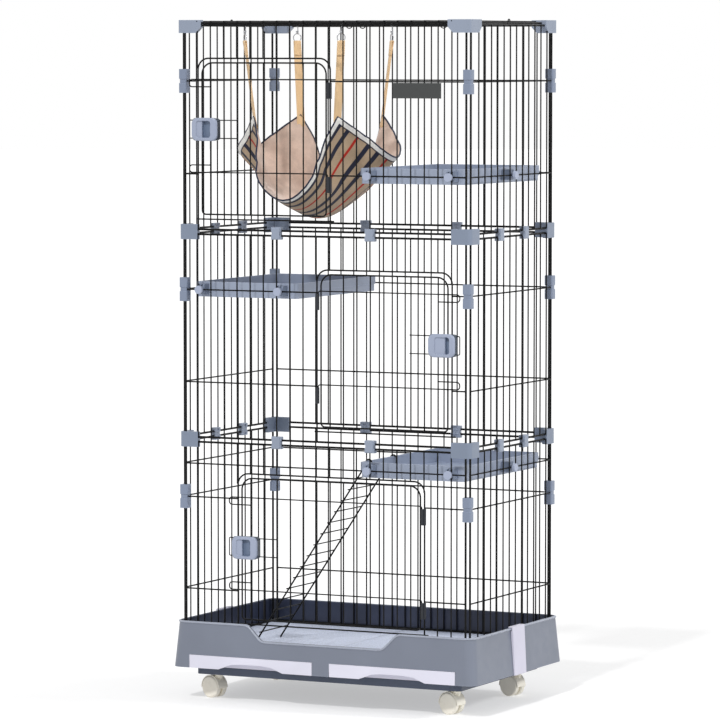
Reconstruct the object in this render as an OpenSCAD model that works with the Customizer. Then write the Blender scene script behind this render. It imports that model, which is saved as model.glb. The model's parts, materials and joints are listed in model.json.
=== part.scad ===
// Three-tier wire pet cage on casters, about 0.81 m wide, 0.52 m deep and 1.67 m tall.
// Wire panels stand in a plastic base tray with two drawers. Each tier has a hinged
// front door with a sliding latch. Three hanging shelves, a ladder and a hammock
// furnish the inside. Millimetres, Z up, front towards -Y, origin on the floor
// under the centre of the cage.

/* [Wire grid] */
// distance between neighbouring upright wires
pitch = 36; // [24:1:45]
// number of gaps across the front
gaps_x = 21; // [13:1:27]
// number of gaps across the side
gaps_y = 13; // [9:1:17]
// height from one tier to the next
tier_h = 508; // [412:1:572]
// distance between the top wire of one tier and the bottom wire of the next
rail_gap = 12; // [9:0.5:15]
// diameter of the edge wires of a panel
edge_d = 5.2; // [4:0.1:6]
// diameter of the upright wires
bar_d = 3.4; // [2:0.1:4]
// diameter of the cross wires
cross_d = 3.6; // [2:0.1:4]
// diameter of the wires that frame a door
frame_d = 4; // [3:0.1:5]
// height of the lower cross wire in a panel
low_cross = 135; // [100:1:180]
// distance of the cross wire that carries the lowest shelf below the panel's top wire
shelf_drop = 53; // [36:1:60]
// distance between the front panel plane and the first side bar
corner_gap = 8; // [6:0.5:12]

/* [Doors] */
// width of a door opening in wire gaps, upper two tiers
door_gaps = 10; // [6:1:14]
// width of the lowest door opening in wire gaps
low_door_gaps = 14; // [8:1:17]
// height of the sill wire above the panel's bottom wire
sill_z = 25; // [15:1:40]
// height of the sill wire of the lowest door
low_sill_z = 54; // [40:1:70]
// distance of the top of a door opening below the panel's top wire
door_drop = 80; // [56:1:100]
// same for the lowest door
low_door_drop = 73; // [66:1:100]
// gap between the door's frame wire and the opening's wire
door_inset = 11; // [8:0.5:14]
// bend radius of the door wires
door_r = 28; // [15:1:40]

/* [Base] */
// how far the tray's rim stands outside the side panels
rim_side = 15; // [12:0.5:25]
// how far the tray's rim stands outside the front and back panels
rim_front = 12; // [9:0.5:20]
// how far the tray widens towards its foot, each side
flare = 9; // [0:1:20]
// height of the rim above the floor
rim_z = 197; // [180:1:220]
// height of the foot of the tray above the floor
foot_z = 83; // [70:1:90]
// wall thickness of the tray
wall = 3; // [2:0.1:4]
// inner corner radius of the tray
tray_r = 24; // [20:1:30]
// underside of the plate that carries the casters
plate_z = 64; // [60:1:70]
// height of the floor inside the tray
deck_z = 139; // [125:1:150]
// distance from the end of the rim to a drawer front
drawer_side = 41.5; // [34:0.5:70]
// gap between the two drawer fronts
drawer_gap = 47; // [30:1:60]
// caster wheel diameter
wheel_d = 53; // [40:1:60]
// half width of the notch at the rim
notch_top = 202; // [180:1:240]
// half width of the floor of the notch
notch_low = 164; // [140:1:180]
// height of the floor of the notch
notch_z = 158; // [150:1:168]

/* [Furniture] */
// width of a shelf
shelf_w = 280; // [200:1:320]
// distance from the front panel's plane to a shelf
shelf_gap = 24; // [16:0.5:30]
// distance from the side panel's plane to a shelf
shelf_side_gap = 22; // [16:0.5:30]
// height of a shelf wall
shelf_h = 37; // [25:1:45]
// number of ladder rungs
rungs = 15; // [10:1:18]
// number of roof gaps between the hammock's hooks, along the front
sling_gaps = 7; // [5:1:8]
// distance of the roof cross wires with the hammock's hooks from the middle
roof_wire_y = 140; // [100:1:150]
// how far the corners of the hammock hang below the roof
cloth_drop = 225.2; // [180:0.1:260]

/* [Hidden] */
half_w = gaps_x * pitch / 2;
half_d = gaps_y * pitch / 2;
front_y = -(half_d + corner_gap);
side_x = half_w + corner_gap;
panel_h = tier_h - rail_gap;
wire_z = deck_z + edge_d / 2 + 0.1;
bar_y = -(edge_d + bar_d) / 2 + 0.3;
cross_y = bar_y + (bar_d + cross_d) / 2 - 0.3;
high_cross = panel_h - low_cross;
shelf_cross = panel_h - shelf_drop;
door_top = panel_h - door_drop;
low_door_top = panel_h - low_door_drop;
roof_z = wire_z + 2 * tier_h + panel_h + edge_d + 0.3;
latch_gap = 22;
hinge_leg = 5.6;
loop_y = -(frame_d + cross_d) / 2 - 0.8;
door_bar_y = loop_y + (bar_d + cross_d - 0.6) / 2 - 0.3;
fine = 0.15;
rim_w = 2 * (side_x + rim_side);
rim_d = 2 * (rim_front - front_y);
board_w = rim_w - 2 * wall - 14;
board_d = rim_d - 2 * wall - 10;
plate_w = rim_w - 86;
plate_d = rim_d - 52;
drawer_w = rim_w / 2 - drawer_side - drawer_gap / 2;
drawer_front = -rim_d / 2 - flare + 1;
bay_end = rim_d / 2 - 40;
drawer_d = bay_end - 6 - drawer_front;
shelf_d = -2 * (front_y + shelf_gap);
shelf_x = side_x - shelf_side_gap - shelf_w / 2;
sling_x = sling_gaps * pitch + 11;
sling_y = 2 * roof_wire_y;

// sub-parts in building order

// Basic wires and blocks

// round wire along X
module wire_x(x0, x1, y, z, d) {
    translate([x0, y, z]) rotate([0, 90, 0]) cylinder(d = d, h = x1 - x0, $fn = 24);
}

// round wire along Y
module wire_y(x, y0, y1, z, d) {
    translate([x, y1, z]) rotate([90, 0, 0]) cylinder(d = d, h = y1 - y0, $fn = 24);
}

// round wire along Z
module wire_z(x, y, z0, z1, d) {
    translate([x, y, z0]) cylinder(d = d, h = z1 - z0, $fn = 24);
}

// quarter bend in the XZ plane round (x, z), starting at the given angle
module bend_xz(x, y, z, r, d, start) {
    translate([x, y, z]) rotate([90, 0, 0]) rotate([0, 0, start])
        rotate_extrude(angle = 90, $fn = 48) translate([r, 0]) circle(d = d, $fn = 24);
}

// flat plate with rounded upright edges
module rounded_plate(w, d, h, r) {
    translate([-w / 2 + r, -d / 2, 0]) cube([w - 2 * r, d, h]);
    translate([-w / 2, -d / 2 + r, 0]) cube([w, d - 2 * r, h]);
    for (x = [-1, 1]) for (y = [-1, 1])
        translate([x * (w / 2 - r), y * (d / 2 - r), 0]) cylinder(r = r, h = h, $fn = 32);
}

// Wire panels

// upright bars of a panel between two bar numbers
module bars(first, last, z0, z1) {
    for (k = [first:last]) wire_z(k * pitch, bar_y, z0, z1, bar_d);
}

// plain panel, drawn from x = 0 to its full width in the XZ plane
module plain_panel(gaps, extra) {
    w = gaps * pitch;
    wire_x(-edge_d / 2, w + edge_d / 2, 0, 0, edge_d);
    wire_x(-edge_d / 2, w + edge_d / 2, 0, panel_h, edge_d);
    wire_z(0, 0, 0, panel_h, edge_d);
    wire_z(w, 0, 0, panel_h, edge_d);
    wire_x(0, w, cross_y, low_cross, cross_d);
    wire_x(0, w, cross_y, high_cross, cross_d);
    if (extra) wire_x(0, w, cross_y, shelf_cross, cross_d);
    bars(1, gaps - 1, 0, panel_h);
}

// field of a front panel beside the door opening; near is the edge bar, far the opening's bar
module side_field(near, far, top, extra) {
    lo = min(near, far) * pitch;
    hi = max(near, far) * pitch;
    x0 = near < far ? lo - edge_d / 2 : lo + 2;
    x1 = near < far ? hi - 2 : hi + edge_d / 2;
    wire_x(near < far ? x0 : lo, near < far ? hi : x1, 0, 0, edge_d);
    wire_x(x0, x1, 0, panel_h, edge_d);
    wire_z(near * pitch, 0, 0, panel_h, edge_d);
    wire_z(far * pitch, -0.5, 0, top - door_r - 0.05, frame_d);
    wire_x(lo, hi, cross_y, low_cross, cross_d);
    wire_x(lo, hi, cross_y, high_cross, cross_d);
    if (extra) wire_x(near < far ? lo : x0, near < far ? x1 : hi, cross_y, shelf_cross, cross_d);
    if (abs(far - near) > 1) bars(min(near, far) + 1, max(near, far) - 1, 0, panel_h);
}

// front panel with its door opening between two bar numbers
module door_panel(first, last, sill, top, extra) {
    x0 = first * pitch;
    x1 = last * pitch;
    side_field(0, first, top, extra);
    side_field(gaps_x, last, top, extra);
    // strip over the door
    union() {
        bend_xz(x0 + door_r, -0.5, top - door_r, door_r, frame_d, 90);
        bend_xz(x1 - door_r, -0.5, top - door_r, door_r, frame_d, 0);
        wire_x(x0 + door_r, x1 - door_r, -0.5, top, frame_d);
        wire_x(x0 - 1.9, x1 + 1.9, 0, panel_h, edge_d);
        if (extra) wire_x(x0 - 1.9, x1 + 1.9, cross_y, shelf_cross, cross_d);
        bars(first + 1, last - 1, top, panel_h);
        wire_z(x0, bar_y, top - door_r + 3, panel_h, bar_d);
        wire_z(x1, bar_y, top - door_r + 3, panel_h, bar_d);
    }
    // strip under the door
    wire_x(x0 + 2.2, x1 - 2.2, 0, 0, edge_d);
    wire_x(x0 - 8, x1 + 8, 3.5, sill, cross_d);
}

// sets a panel drawn in the XZ plane on one side of the cage
module on_front(tier) {
    translate([-half_w, front_y, wire_z + (tier - 1) * tier_h]) children();
}

module on_back(tier) {
    rotate([0, 0, 180]) on_front(tier) children();
}

module on_right(tier) {
    translate([side_x, -half_d, wire_z + (tier - 1) * tier_h]) rotate([0, 0, 90]) children();
}

module on_left(tier) {
    rotate([0, 0, 180]) on_right(tier) children();
}

// first and last opening bar, sill and top of each tier's door
function door_first(t) = t == 1 ? ceil((gaps_x - low_door_gaps) / 2) : (t == 2 ? gaps_x - 1 - door_gaps : 1);
function door_last(t) = door_first(t) + (t == 1 ? low_door_gaps : door_gaps);
function door_sill(t) = t == 1 ? low_sill_z : sill_z;
function door_head(t) = t == 1 ? low_door_top : door_top;

module panel_front(t) {
    color([0.1, 0.1, 0.11])
    on_front(t) door_panel(door_first(t), door_last(t), door_sill(t), door_head(t), t == 1);
}

module panel_back(t) {
    color([0.1, 0.1, 0.11]) on_back(t) plain_panel(gaps_x, t == 1);
}

module panel_left(t) {
    color([0.1, 0.1, 0.11]) on_left(t) plain_panel(gaps_y, t == 1);
}

module panel_right(t) {
    color([0.1, 0.1, 0.11]) on_right(t) plain_panel(gaps_y, t == 1);
}

// small wire arch that ties the roof to a side panel
module roof_staple() {
    translate([0, 0, 3.2]) rotate([90, 0, 90])
        rotate_extrude(angle = 180, $fn = 32) translate([5.5, 0]) circle(d = 3, $fn = 16);
    for (y = [-5.5, 5.5]) translate([0, y, -1]) cylinder(d = 3, h = 4.2, $fn = 16);
}

// small wire hook that hangs from the roof frame
module roof_hook() {
    translate([0, 0, -4]) rotate([90, 0, 0]) rotate([0, 0, 180])
        rotate_extrude(angle = 180, $fn = 32) translate([9, 0]) circle(d = 2.4, $fn = 16);
    for (x = [-9, 9]) translate([x, 0, -4]) cylinder(d = 2.4, h = 7, $fn = 16);
}

module panel_roof() {
    color([0.1, 0.1, 0.11])
    translate([0, 0, roof_z]) {
        for (y = [-1, 1]) wire_x(-half_w - 2.9, half_w + 2.9, y * -front_y, 0, edge_d);
        for (x = [-1, 1]) wire_y(x * half_w, front_y, -front_y, 0, edge_d);
        for (y = [-roof_wire_y, 0, roof_wire_y]) wire_x(-half_w, half_w, y, 1, cross_d);
        for (k = [1:gaps_x - 1]) wire_y(k * pitch - half_w, front_y - 4, 4 - front_y, -bar_y, bar_d);
        for (x = [-1, 1]) translate([x * half_w, 0, 0]) roof_staple();
        for (k = [0.5, 1.5, 7.5]) translate([k * pitch, -roof_wire_y, 0]) roof_hook();
    }
}

// Doors; drawn with the hinge bar at x = 0, the door reaching towards +X

function door_span(t) = (door_last(t) - door_first(t)) * pitch;
function door_gap_count(t) = door_last(t) - door_first(t);

// wire loop that stops the door against the opening's bar
module stop_loop(x0, x1, z, rise) {
    wire_x(x0, x1 - 8, loop_y, z, cross_d - 0.6);
    wire_x(x0, x1 - 8, loop_y, z + rise, cross_d - 0.6);
    for (s = [0, 1])
        bend_xz(x1 - 8, loop_y, z + (s == 0 ? sign(rise) * 8 : rise - sign(rise) * 8), 8,
            cross_d - 0.6, (s == 0) == (rise > 0) ? -90 : 0);
    wire_z(x1, loop_y, z + min(0, rise) + 8, z + max(0, rise) - 8, cross_d - 0.6);
}

// U-shaped guide wire of the latch
module latch_guide(span) {
    x0 = span - 3 * pitch;
    x1 = span + latch_gap;
    mid = panel_h / 2 - 4;
    for (s = [-1, 1]) {
        wire_x(x0 - 2, x1 - 3, loop_y, mid + s * 22, 2.6);
        bend_xz(x1 - 3, loop_y, mid + s * 19, 3, 2.6, s > 0 ? 0 : -90);
    }
    wire_z(x1, loop_y, mid - 19, mid + 19, 2.6);
}

module door_wires(t) {
    span = door_span(t);
    x0 = door_inset;
    x1 = span - door_inset;
    z0 = door_sill(t) + 12;
    z1 = door_head(t) - door_inset;
    rb = 10;
    // frame wire
    wire_z(x0, -0.5, z0 + rb, z1 - door_r, frame_d);
    wire_z(x1, -0.5, z0 + rb, z1 - door_r, frame_d);
    wire_x(x0 + rb, x1 - rb, -0.5, z0, frame_d);
    wire_x(x0 + door_r, x1 - door_r, -0.5, z1, frame_d);
    bend_xz(x0 + door_r, -0.5, z1 - door_r, door_r, frame_d, 90);
    bend_xz(x1 - door_r, -0.5, z1 - door_r, door_r, frame_d, 0);
    bend_xz(x0 + rb, -0.5, z0 + rb, rb, frame_d, 180);
    bend_xz(x1 - rb, -0.5, z0 + rb, rb, frame_d, -90);
    // upright bars behind the latch and stop wires
    for (k = [1:door_gap_count(t) - 1]) wire_z(k * pitch, door_bar_y, z0, z1, bar_d);
    // cross wires, stop loops and hinge legs
    for (z = [low_cross + 4, high_cross + 4]) {
        wire_x(hinge_leg + 5, span - pitch, loop_y, z, cross_d - 0.6);
        bend_xz(hinge_leg + 5, loop_y, z - 5, 5, cross_d - 0.6, 90);
        wire_z(hinge_leg, loop_y, z - 34, z - 5, cross_d - 0.6);
    }
    stop_loop(span - pitch, span + latch_gap, high_cross + 4, -18);
    stop_loop(span - pitch, span + latch_gap, low_cross + 4, 18);
    latch_guide(span);
}

// turns a door so that its hinge bar is on the proper side of its opening
module place_door(t) {
    on_front(t)
        translate([(t == 2 ? door_first(t) : door_last(t)) * pitch, 0, 0])
        mirror([t == 2 ? 0 : 1, 0, 0])
        children();
}

module door(t) {
    color([0.1, 0.1, 0.11]) place_door(t) door_wires(t);
}

// folded steel sleeve round the hinge bar
module hinge_sleeve(z) {
    translate([0, 0, z]) difference() {
        union() {
            translate([0, -0.5, 0]) cylinder(d = 7.6, h = 39, $fn = 32);
            translate([hinge_leg, loop_y, 0]) cylinder(d = 5.4, h = 39, $fn = 32);
            translate([0, loop_y - 2.7, 0]) cube([hinge_leg, 4.6, 39]);
        }
        translate([0, -0.5, -1]) cylinder(d = frame_d + 0.7, h = 41, $fn = 32);
        translate([hinge_leg, loop_y, -1]) cylinder(d = cross_d - 0.6 + 2 * fine, h = 41, $fn = 32);
    }
}

module hinges(t) {
    color([0.2, 0.22, 0.26])
    place_door(t) {
        hinge_sleeve(high_cross - 41.6);
        hinge_sleeve(low_cross - 41.6);
    }
}

// sliding latch; shift is how far its outer end lies beyond the opening's bar
module latch_body(t, shift) {
    span = door_span(t);
    mid = panel_h / 2 - 4;
    w = 70;
    h = 56;
    y1 = loop_y + 0.8;
    y0 = -29;
    place_door(t) translate([span + shift - w / 2, 0, mid]) difference() {
        union() {
            // back block
            translate([-w / 2 + 3, y0 + 12, -h / 2 + 2]) cube([w - 6, y1 - y0 - 12, h - 4]);
            // front shell with rounded corners
            translate([0, y0 + 15, 0]) rotate([90, 0, 0]) rounded_plate(w, h, 15, 12);
        }
        // finger hollow
        translate([-17, y0 - 1, -h / 2 + 8]) cube([30, 13, h - 16]);
        translate([13, y0 + 3, -h / 2 + 8]) cylinder(r = 9, h = h - 16, $fn = 32);
        // guide grooves
        for (s = [-1, 1]) wire_x(-w, w, loop_y, s * 22, 3.2);
    }
}

module latch(t) {
    color([0.64, 0.68, 0.77]) latch_body(t, t == 2 ? 18 : 5);
}

// Plastic connectors

// wires that run through one front-right corner, thickened for clearance
module corner_bores(tier, grow) {
    z0 = wire_z + (tier - 1) * tier_h;
    for (z = [0, panel_h]) {
        wire_x(half_w - 80, half_w + 3, front_y, z0 + z, edge_d + grow);
        wire_y(side_x, -half_d - 3, -half_d + 80, z0 + z, edge_d + grow);
    }
    wire_z(half_w, front_y, z0 - 3, z0 + panel_h + 3, edge_d + grow);
    wire_z(side_x, -half_d, z0 - 3, z0 + panel_h + 3, edge_d + grow);
    wire_z(half_w - pitch, front_y + bar_y, z0 - 3, z0 + panel_h + 3, bar_d + grow);
    wire_z(half_w - pitch, front_y - 0.5, z0 - 3, z0 + panel_h + 3, frame_d + grow);
    wire_z(side_x - bar_y, -half_d + pitch, z0 - 3, z0 + panel_h + 3, bar_d + grow);
}

// square passages for the cross wires at the height of a post clip
module cross_slots(tier, grow) {
    z0 = wire_z + (tier - 1) * tier_h + high_cross;
    w = cross_d + grow;
    translate([half_w - 80, front_y + cross_y - w / 2, z0 - w / 2]) cube([80.7, w, w]);
    translate([side_x - cross_y - w / 2, -half_d - 0.6, z0 - w / 2]) cube([w, 80, w]);
}

// repeats a front-right corner piece on all four corners
module four_corners() {
    for (x = [0, 1]) for (y = [0, 1]) mirror([x, 0, 0]) mirror([0, y, 0]) children();
}

// upright L-shaped block round the front-right post, its corner rounded
module corner_block(z0, h, arm, back, r) {
    x1 = side_x + 7;
    y1 = front_y - 7;
    translate([x1 - arm, y1, z0]) cube([arm - r, 7 + back, h]);
    translate([x1 - 7 - back, y1 + r, z0]) cube([7 + back, arm - r, h]);
    intersection() {
        translate([x1 - r, y1 + r, z0]) cylinder(r = r, h = h, $fn = 48);
        translate([x1 - r, y1, z0]) cube([r, r, h]);
    }
    translate([x1 - 7 - back, y1, z0]) cube([7 + back - r, 7 + back, h]);
}

// outline that trims the lower outer end of an arm
module arm_trim(arm, h, cut) {
    translate([side_x + 7 - arm, front_y, 0]) rotate([90, 0, 0])
        translate([0, 0, -60]) linear_extrude(120) polygon([[-2, -2], [cut, -2], [-2, cut]]);
}

module top_caps() {
    color([0.62, 0.66, 0.76])
    four_corners() {
        z0 = roof_z - 24;
        difference() {
            corner_block(z0, 31.5, 61, 7, 3);
            translate([0, 0, z0]) arm_trim(61, 31.5, 16);
            translate([side_x + front_y, side_x + front_y, z0]) mirror([1, 1, 0]) arm_trim(61, 31.5, 16);
            corner_bores(3, fine * 2);
            // channel for the front rail and the roof's frame wire above it
            translate([half_w - 80, front_y - 2.75, roof_z - 8]) cube([83, 5.5, 11]);
            wire_y(half_w, front_y - 1, front_y + 80, roof_z, edge_d + fine * 2);
            wire_y(half_w - pitch, front_y - 20, front_y + 80, roof_z - bar_y, bar_d + fine * 2);
        }
    }
}

module tier_corners() {
    color([0.64, 0.68, 0.77])
    four_corners() for (t = [1, 2]) {
        z0 = wire_z + t * tier_h - rail_gap / 2 - 18.5;
        difference() {
            corner_block(z0, 37, 51, 6, 12);
            corner_bores(t, fine * 2);
            corner_bores(t + 1, fine * 2);
        }
    }
}

module post_clips() {
    color([0.5, 0.55, 0.64])
    four_corners() for (t = [1:3]) {
        z0 = wire_z + (t - 1) * tier_h + high_cross;
        difference() {
            union() {
                for (s = [-1, 1]) translate([side_x - 4, front_y + 4, z0 + s * 17 - 12]) rounded_plate(22, 22, 24, 4.4);
                translate([side_x - 4, front_y + 4, z0 - 6]) rounded_plate(19, 19, 12, 4.4);
            }
            corner_bores(t, fine * 2);
            cross_slots(t, fine * 2);
            // relief slots on the inner side
            for (s = [-1, 1]) for (y = [-3, 3])
                translate([side_x - 17, front_y + 3 + y, z0 + s * 17 - 7]) cube([4, 2, 14]);
        }
    }
}

// clip that holds the rails of two tiers together, drawn at the front
module rail_clip(x, z) {
    translate([x, front_y, z]) difference() {
        union() {
            for (s = [-1, 1]) translate([-13, -7, s * (rail_gap / 2 + 3.5) - 5.5]) cube([26, 13, 11]);
            translate([-11, -5, -6]) cube([22, 10, 12]);
            translate([-10, -9, -rail_gap / 2 - 7]) cube([20, 5, rail_gap + 14]);
        }
        wire_z(0, bar_y, -16, 16, bar_d + fine * 2);
        for (s = [-1, 1]) {
            wire_x(-20, 20, 0, s * rail_gap / 2, edge_d + fine * 2);
            translate([-5, 4, s * (rail_gap / 2 + 4) - 3]) cube([10, 4, 6]);
        }
    }
}

module rail_clips() {
    color([0.6, 0.64, 0.73])
    for (t = [1, 2]) {
        z = wire_z + t * tier_h - rail_gap / 2;
        for (turn = [0, 180]) rotate([0, 0, turn]) {
            for (k = [-3.5, 3.5]) rail_clip(k * pitch, z);
            for (k = [-2, 2]) rotate([0, 0, 90]) translate([0, -side_x - front_y, 0]) rail_clip(k * pitch, z);
        }
    }
}

// Base

// straight-sided solid that widens from the rim to the foot
module flared(w, d, grow, z0, z1, r) {
    hull() {
        translate([0, 0, z0]) rounded_plate(w + 2 * grow, d + 2 * grow, 0.1, r);
        translate([0, 0, z1 - 0.1]) rounded_plate(w, d, 0.1, r);
    }
}

// points of an arc round (x, z)
function arc(x, z, r, a0, a1) =
    [for (k = [0:6]) [x + r * cos(a0 + (a1 - a0) * k / 6), z + r * sin(a0 + (a1 - a0) * k / 6)]];

// one side of the notch, rounded where it meets its floor and the rim
function notch_side(top, low, z0, z1, r) =
    let (slope = atan2(z1 - z0, top - low), reach = r * tan(slope / 2))
    concat(arc(low - reach, z0 + r, r, -90, slope - 90),
        arc(top + reach, z1 - r, r, 90 + slope, 90), [[top + reach, z1 + 20]]);

// notch in the front wall under the lowest door
module front_notch(top, low, z0) {
    side = notch_side(top, low, z0, rim_z, 14);
    count = len(side);
    translate([0, -rim_d / 2 + 20, 0]) rotate([90, 0, 0]) linear_extrude(60)
        polygon(concat(side, [for (k = [1:count]) [-side[count - k][0], side[count - k][1]]]));
}

// divider and ledges round the two drawer bays; they carry the liner
module tray_ledges() {
    difference() {
        translate([0, 0, foot_z - 0.4])
            rounded_plate(rim_w - 2 * wall + 1, rim_d - 2 * wall + 1, deck_z - 8 - foot_z + 0.4, tray_r + 0.5);
        for (s = [-1, 1]) translate([s * (drawer_w + drawer_gap) / 2 - drawer_w / 2 - 2.5, -rim_d, foot_z - 2])
            cube([drawer_w + 5, rim_d + bay_end, 60]);
    }
}

module base_tray() {
    color([0.5, 0.54, 0.6]) {
        difference() {
            union() {
                flared(rim_w, rim_d, flare, foot_z, rim_z - 2, tray_r + 2);
                flared(rim_w - 2.6, rim_d - 2.6, 1.3, rim_z - 2.1, rim_z, tray_r + 0.7);
            }
            translate([0, 0, foot_z - 1]) rounded_plate(rim_w - 2 * wall, rim_d - 2 * wall, rim_z, tray_r);
            front_notch(notch_top, notch_low, notch_z);
            // windows of the drawers
            for (s = [-1, 1]) translate([s * (drawer_w + drawer_gap) / 2 - drawer_w / 2 - 1, -rim_d / 2 - 20, foot_z - 1])
                cube([drawer_w + 2, 40, 33.4]);
        }
        tray_ledges();
    }
}

module tray_liner() {
    color([0.13, 0.15, 0.22])
    difference() {
        translate([0, 0, deck_z - 8])
            rounded_plate(rim_w - 2 * wall - 0.4, rim_d - 2 * wall - 0.4, rim_z - deck_z + 6, tray_r - 0.2);
        translate([0, 0, deck_z - 4]) rounded_plate(rim_w - 2 * wall - 3.4, rim_d - 2 * wall - 3.4, rim_z, tray_r - 1.7);
        front_notch(notch_top, notch_low, notch_z);
    }
}

module floor_boards() {
    color([0.86, 0.87, 0.94])
    for (s = [-1, 1]) {
        x = s < 0 ? -board_w / 2 : -8;
        w = s < 0 ? board_w / 2 - 12 : board_w / 2 + 8;
        intersection() {
            translate([x, -board_d / 2, deck_z - 3.9]) cube([w, board_d, 3.9]);
            translate([0, 0, deck_z - 3.9]) rounded_plate(board_w, board_d, 3.9, tray_r - 6);
        }
    }
}

module base_plate() {
    color([0.34, 0.38, 0.46])
    difference() {
        translate([0, 0, plate_z]) rounded_plate(plate_w, plate_d, foot_z - 0.4 - plate_z, 10);
        for (x = [-1, 1]) for (y = [-1, 1]) translate([x * stem_x, y * stem_y, plate_z - 4]) cylinder(d = 11.1, h = 30, $fn = 32);
    }
}

// outline of the finger recess at the lower edge of a drawer front, grown by g
function recess_outline(g) = [[-88 - g, -9], [-88 - g, 0], [-56 - g, 12 + g], [-30, 15 + g],
    [30, 15 + g], [56 + g, 12 + g], [88 + g, 0], [88 + g, -9]];

// finger recess as a prism that reaches back from the drawer front
module finger_recess(yf, deep, g) {
    translate([0, yf + deep, foot_z]) rotate([90, 0, 0]) linear_extrude(deep + 5) polygon(recess_outline(g));
}

// drawer drawn at its closed place; s is the side
module drawer(s) {
    xc = s * (drawer_w + drawer_gap) / 2;
    yf = drawer_front;
    color([0.88, 0.87, 0.93])
    translate([xc, 0, 0]) difference() {
        union() {
            translate([-drawer_w / 2, yf, foot_z]) cube([drawer_w, 4, 32]);
            translate([-drawer_w / 2 + 4, yf + 3, foot_z + 2]) cube([drawer_w - 8, drawer_d, 28]);
        }
        difference() {
            translate([-drawer_w / 2 + 7, yf + 7, foot_z + 5]) cube([drawer_w - 14, drawer_d - 10, 40]);
            finger_recess(yf, 26, 2.5);
        }
        finger_recess(yf, 23, 0);
    }
}

module drawer_left() {
    drawer(-1);
}

module drawer_right() {
    drawer(1);
}

// band that clasps the tray at mid side
module side_clasps() {
    color([0.92, 0.92, 0.96])
    for (turn = [0, 180]) rotate([0, 0, turn]) translate([0, 34, 0]) rotate([90, 0, 0]) linear_extrude(68)
        polygon([[rim_w / 2 + flare + 0.4, foot_z - 1], [rim_w / 2 + flare + 3.4, foot_z - 1],
            [rim_w / 2 + 6.4, rim_z + 3], [rim_w / 2 - 6, rim_z + 3], [rim_w / 2 - 6, rim_z + 0.3],
            [rim_w / 2 + 3.4, rim_z + 0.3], [rim_w / 2 + 3.4, rim_z - 7.2], [rim_w / 2 + 0.9, rim_z - 7.2]]);
}

// Casters

stem_x = plate_w / 2 - 34;
stem_y = plate_d / 2 - 53;
trail = 15;
swivel = 165;

// sets a caster drawn round its own stem
module at_stem(sx, sy) {
    translate([sx * stem_x, sy * stem_y, 0]) rotate([0, 0, swivel]) children();
}

// fork with a hood between and over the two wheels
module caster_fork(sx, sy) {
    color([0.93, 0.92, 0.87])
    at_stem(sx, sy) {
        difference() {
            union() {
                translate([0, 0, 50]) cylinder(d = 11, h = 30, $fn = 32);
                translate([0, 0, plate_z - 7]) cylinder(d = 28, h = 6.6, $fn = 32);
                translate([0, 0, 50]) cylinder(d = 20, h = 8, $fn = 32);
                translate([-8, -3, wheel_d / 2 - 6]) cube([trail + 12, 6, 42]);
                translate([trail, 16, wheel_d / 2]) rotate([90, 0, 0]) cylinder(d = wheel_d + 6, h = 32, $fn = 48);
            }
            translate([-60, -30, -20]) cube([120, 60, wheel_d / 2 + 18]);
            for (s = [-1, 1]) translate([trail, s * 11.5 + 8.5, wheel_d / 2]) rotate([90, 0, 0])
                cylinder(d = wheel_d + 1.6, h = 17, $fn = 48);
            translate([trail, 10, wheel_d / 2]) rotate([90, 0, 0]) cylinder(d = 6.1, h = 20, $fn = 32);
        }
    }
}

// two wheels on one axle
module caster_wheels(sx, sy) {
    color([0.93, 0.92, 0.87])
    at_stem(sx, sy) translate([trail, 0, wheel_d / 2]) rotate([90, 0, 0]) {
        for (s = [-1, 1]) translate([0, 0, s * 11 - 7]) {
            translate([0, 0, 2]) cylinder(d = wheel_d, h = 10, $fn = 48);
            translate([0, 0, 0]) cylinder(d1 = wheel_d - 5, d2 = wheel_d, h = 2, $fn = 48);
            translate([0, 0, 12]) cylinder(d1 = wheel_d, d2 = wheel_d - 5, h = 2, $fn = 48);
        }
        translate([0, 0, -8]) cylinder(d = 6, h = 16, $fn = 32);
    }
}

// Shelves

function shelf_z(n) = wire_z + (n == 1 ? shelf_cross : (n == 2 ? tier_h + high_cross : 2 * tier_h + low_cross));
function shelf_side(n) = n == 2 ? -1 : 1;

// places where a shelf is clipped, each just beside an upright wire
module at_shelf_clips(n) {
    for (turn = [0, 180]) for (k = [1, floor((shelf_w - 20) / pitch)])
        translate([0, 0, shelf_z(n)]) rotate([0, 0, turn])
            translate([(turn == 0 ? 1 : -1) * shelf_side(n) * (half_w - k * pitch - 6), 0, 0]) children();
}

module at_shelf_side_clip(n) {
    translate([0, 0, shelf_z(n)]) rotate([0, 0, shelf_side(n) * 90])
        translate([0, -(side_x + front_y), 0]) children();
}

module shelf(n) {
    xc = shelf_side(n) * shelf_x;
    color([0.66, 0.7, 0.8])
    difference() {
        translate([xc, 0, shelf_z(n) - shelf_h / 2]) union() {
            rounded_plate(shelf_w - 5, shelf_d - 5, shelf_h / 2, 8);
            translate([0, 0, shelf_h / 2 - 1]) rounded_plate(shelf_w, shelf_d, shelf_h / 2 + 1, 9);
        }
        translate([xc, 0, shelf_z(n) - shelf_h / 2 + 2.5]) rounded_plate(shelf_w - 10, shelf_d - 10, shelf_h, 6);
    }
}

// turn-button of a shelf clip, drawn at the front
module shelf_knob() {
    difference() {
        union() {
            translate([0, front_y + bar_y - 3.2, 0]) rotate([90, 0, 0]) cylinder(d = 20, h = 7, $fn = 48);
            translate([0, front_y + bar_y + 4, 0]) rotate([90, 0, 0]) cylinder(d = 8.4, h = 8, $fn = 32);
        }
        // groove that seats on the cross wire
        wire_x(-20, 20, front_y + cross_y, 0, cross_d + 2 * fine);
    }
}

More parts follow.
